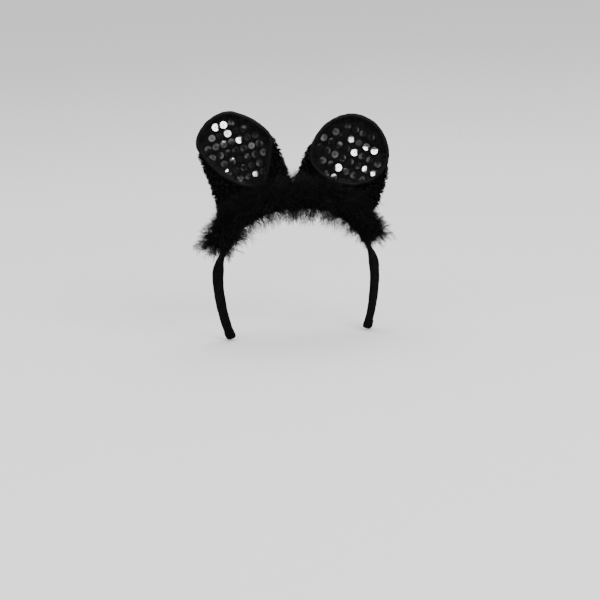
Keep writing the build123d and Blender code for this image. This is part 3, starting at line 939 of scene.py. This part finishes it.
def make_down(name, start, end, count, barbs, seed, replaced, longest=17.5, side=1):
    """A stretch of the trim: a soft lumpy heart and the feathers that stand out of it."""
    rng = np.random.default_rng(seed)
    rings = []
    for angle in np.linspace(start, end, 70):
        radius, y, thick = down_path(min(abs(angle) / TUFT_END_AT, 1.0))
        out = facing(angle)
        ends = min(abs(angle - start), abs(end - angle)) / 6.0
        full = (1 - max(0.0, 1 - ends) ** 2) ** 0.5 if abs(angle) > DOWN_END_AT else 1.0
        size = thick * 0.9 * (0.25 + 0.75 * full)
        rings.append(out * radius + BACK * y + size * circle(turns(36), out, BACK))
    points, faces = skin(rings)
    heart = piece(f"{name}_heart", points, faces, [BACKING], side)
    roughen(heart, (5.0, 3.4, seed), (2.0, 1.2, seed + 3))
    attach(heart, "crown")
    if replaced:
        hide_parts(*replaced)

    def rolled(low, high):
        return rng.uniform(radians(low), radians(high), count)

    angles = rng.uniform(start, end, count)
    a = np.radians(angles)
    out = np.stack((np.sin(a), np.zeros(count), np.cos(a)), 1)
    tangent = np.stack((np.cos(a), np.zeros(count), -np.sin(a)), 1)
    share = np.clip(np.abs(angles) / TUFT_END_AT, 0, 1)
    shape = np.array([down_path(s) for s in share])
    kind = rng.random(count)
    upright, in_tuft = kind > PLUMES_FROM, share > TUFTS_FROM
    # Each feather's way round the cord, from outwards (0) towards the front (90). The upright ones keep closer
    # together in the middle, between the ears, and the tufts' stand out nearly all round.
    roll = np.where(kind < FRONT_TO, rolled(-35, 205), rolled(-125, -35))
    roll = np.where(upright, rolled(0, 50) * np.where(np.abs(angles) < 5, 0.4, 1.0), roll)
    roll = np.where(in_tuft, rolled(-110, 200), roll)
    ring = circle(roll, out, FRONT)
    rooted = shape[:, 2:] * rng.uniform(0.1, 0.6, (count, 1))
    roots = out * shape[:, :1] + BACK * shape[:, 1:2] + ring * rooted
    flare = np.clip((share - 0.8) / 0.2, 0, 1)
    stray = 0.35 * rng.normal(0, 1, (count, 3))
    fanned = np.sign(start + end) * 0.9 * flare * (rng.random(count) < 0.7)
    heading = unit(ring + stray + tangent * fanned[:, None])
    length = rng.uniform(0.55, 1.0, count) ** 0.7 * longest * (1 + 0.25 * flare)
    length *= 1 + 0.9 * np.exp(-(angles / 4.0) ** 2) * upright
    length *= 1 + (0.55 * (share < 0.6) + 0.4 * (np.abs(share - 0.4) < 0.2)) * upright
    length *= 1 - 0.45 * in_tuft * np.clip(-heading[:, 2], 0, 1)
    shafts, hairs = plumes(roots, heading, np.minimum(length, LONGEST_PLUME), barbs, rng)
    first, faces, each = strands(pressed(shafts), rng.uniform(0.16, 0.26, count), taper=0.5)
    second, more, every = strands(pressed(hairs), rng.uniform(0.09, 0.17, len(hairs)), taper=0.7)
    points, faces = gather([(first, faces), (second, more)])
    kinds = np.concatenate((np.repeat(rng.choice(3, count, p=(0.3, 0.5, 0.2)), each),
                            np.repeat(rng.choice(3, len(hairs), p=(0.4, 0.4, 0.2)), every)))
    down = piece(f"{name}_feathers", points, faces, DOWNS, side, tidy=False, kinds=kinds)
    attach(down, "crown")


make_down("middle_down_right", -2, DOWN_END_AT, 760, 24, 101, ["trim_down_middle"])
make_down("middle_down_left", -2, DOWN_END_AT, 760, 24, 104, [], side=-1)
make_down("right_down", DOWN_END_AT - 3, TUFT_END_AT, 420, 28, 102, ["right_trim_down_end"], 14.5)
make_down("left_down", DOWN_END_AT - 3, TUFT_END_AT, 460, 28, 103, ["left_trim_down_end"], 16.5, -1)


def make_cord():
    """The trim's two-ply cord, and the stitches that tack it to the band."""
    parts = []
    for ply in (0, pi):
        rings = []
        for angle in np.linspace(-DOWN_END_AT, DOWN_END_AT, 260):
            out, twist = facing(angle), ply + radians(angle) * 40
            middle = out * (CORD_R + 0.45 * cos(twist)) + BACK * (CORD_Y + 0.45 * sin(twist))
            rings.append(middle + 0.5 * circle(turns(8), out, BACK))
        parts.append(skin(rings, caps=False))
    points, faces = gather(parts)
    cord = piece("twisted_cord", points, faces, [THREAD])
    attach(cord, "crown")
    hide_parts("trim_cord")
    paths = []
    for angle in range(-39, 40, 13):
        for shift in (-0.6, 0.6):
            out = facing(angle + shift)
            paths.append([out * BAND_R + FRONT * (BAND_WIDTH / 2 - 0.3),
                          out * (BAND_R + 2) + FRONT * (BAND_WIDTH / 2 + 2.6),
                          out * (CORD_R + 1.2) + BACK * (CORD_Y + 0.6),
                          out * (CORD_R + 0.9) + BACK * (CORD_Y - 1.0)])
    tacks = sewn("tacking_stitches", paths, 0.3)
    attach(tacks, "crown")
    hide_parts("trim_stitches")


make_cord()

# ---------------------------------------------------------------- CAD nodes that stay


for name in ("crown_core", "left_arm_core", "right_arm_core"):
    kept = frame["nodes"][name]
    kept.data.materials.clear()
    kept.data.materials.append(PLASTIC)

# ---------------------------------------------------------------- floor, light and camera

FLOOR_SIZE, FLOOR_GAP = 60, 0.0003
ground = min(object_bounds()[0][2], box_mm("right_arm_tip")[0][2] * MM)
bpy.ops.mesh.primitive_grid_add(x_subdivisions=8, y_subdivisions=8, size=FLOOR_SIZE,
                                location=(0, 0, ground - FLOOR_GAP))
floor = bpy.context.object
floor.name = "floor"
paper = material("floor_paper", (0.87, 0.845, 0.86), 0.85, specular=0.2)
floor.data.materials.append(paper)
floor.visible_glossy = False


def soft_light(name, place, size, power, color=(1, 1, 1)):
    """A rectangular lamp that faces the headband."""
    lamp = bpy.data.lights.new(name, "AREA")
    lamp.shape = "RECTANGLE"
    lamp.size, lamp.size_y = size
    lamp.energy = power
    lamp.color = color
    holder = bpy.data.objects.new(name, lamp)
    holder.location = place
    holder.rotation_euler = (Vector(AIM) - Vector(place)).to_track_quat("-Z", "Y").to_euler()
    bpy.context.scene.collection.objects.link(holder)


AIM = (0.0, 0.0, 0.08)
soft_light("key", (1.1, -1.5, 1.5), (1.2, 1.0), 34, (0.95, 0.97, 1.0))
soft_light("fill", (-1.6, -0.9, 0.9), (1.0, 1.0), 10, (1.0, 0.95, 0.9))
soft_light("top", (0.0, 0.4, 2.2), (1.8, 1.4), 28)
soft_light("window", (0.55, -2.5, 0.32), (0.42, 0.42), 3)

world = bpy.data.worlds.new("studio")
bpy.context.scene.world = world
world.use_nodes = True
WALL = (0.66, 0.64, 0.65, 1)
SKY_LOW, SKY_HIGH = (0.24, 0.235, 0.235, 1), (1.48, 1.46, 1.50, 1)
REFLECTED = ((0.48, (0.016, 0.016, 0.016, 1)), (0.76, (0.34, 0.33, 0.33, 1)))


def mixed(factor, first, second):
    """The world's colour between two: each is a plain colour or a node's output."""
    mix = node(world, "ShaderNodeMix", data_type="RGBA")
    world.node_tree.links.new(factor, mix.inputs[0])
    for place, value in ((6, first), (7, second)):
        if isinstance(value, tuple):
            mix.inputs[place].default_value = value
        else:
            world.node_tree.links.new(value, mix.inputs[place])
    return mix.outputs[2]


# A plain pale wall for the camera, a brighter sky overhead for light, and uneven patches for gloss to mirror.
rays = node(world, "ShaderNodeLightPath")
toward = node(world, "ShaderNodeTexCoord")
split = node(world, "ShaderNodeSeparateXYZ")
link(world, toward, "Generated", split, "Vector")
height = node(world, "ShaderNodeMapRange", from_min=-0.1, from_max=1.0)
link(world, split, "Z", height, "Value")
sky = mixed(height.outputs["Result"], SKY_LOW, SKY_HIGH)
patches = node(world, "ShaderNodeTexNoise", scale=3.8, detail=3.0)
link(world, toward, "Generated", patches, "Vector")
contrast = node(world, "ShaderNodeValToRGB")
for element, (position, color) in zip(contrast.color_ramp.elements, REFLECTED):
    element.position, element.color = position, color
link(world, patches, "Fac", contrast, "Fac")
lit = mixed(rays.outputs["Is Glossy Ray"], sky, contrast.outputs["Color"])
seen = mixed(rays.outputs["Is Camera Ray"], lit, WALL)
world.node_tree.links.new(seen, world.node_tree.nodes["Background"].inputs["Color"])

AZIMUTH, ELEVATION, ROLL, DISTANCE = -6.0, 15.0, 2.75, 1.4
MOVE_RIGHT, MOVE_UP = 0.003, -0.0185
lens = bpy.data.cameras.new("camera")
lens.lens = 84.0
lens.sensor_width = 36.0
camera = bpy.data.objects.new("camera", lens)
bpy.context.scene.collection.objects.link(camera)
a, e, r = radians(AZIMUTH), radians(ELEVATION), radians(ROLL)
back = Vector((sin(a) * cos(e), -cos(a) * cos(e), sin(e)))
level = (-back).cross(Vector((0, 0, 1))).normalized()
rise = level.cross(-back)
upward = rise * cos(r) + level * sin(r)
rightward = level * cos(r) - rise * sin(r)
camera.matrix_world = Matrix((rightward, upward, back)).transposed().to_4x4()
camera.location = back * DISTANCE + rightward * MOVE_RIGHT + upward * MOVE_UP
bpy.context.scene.camera = camera
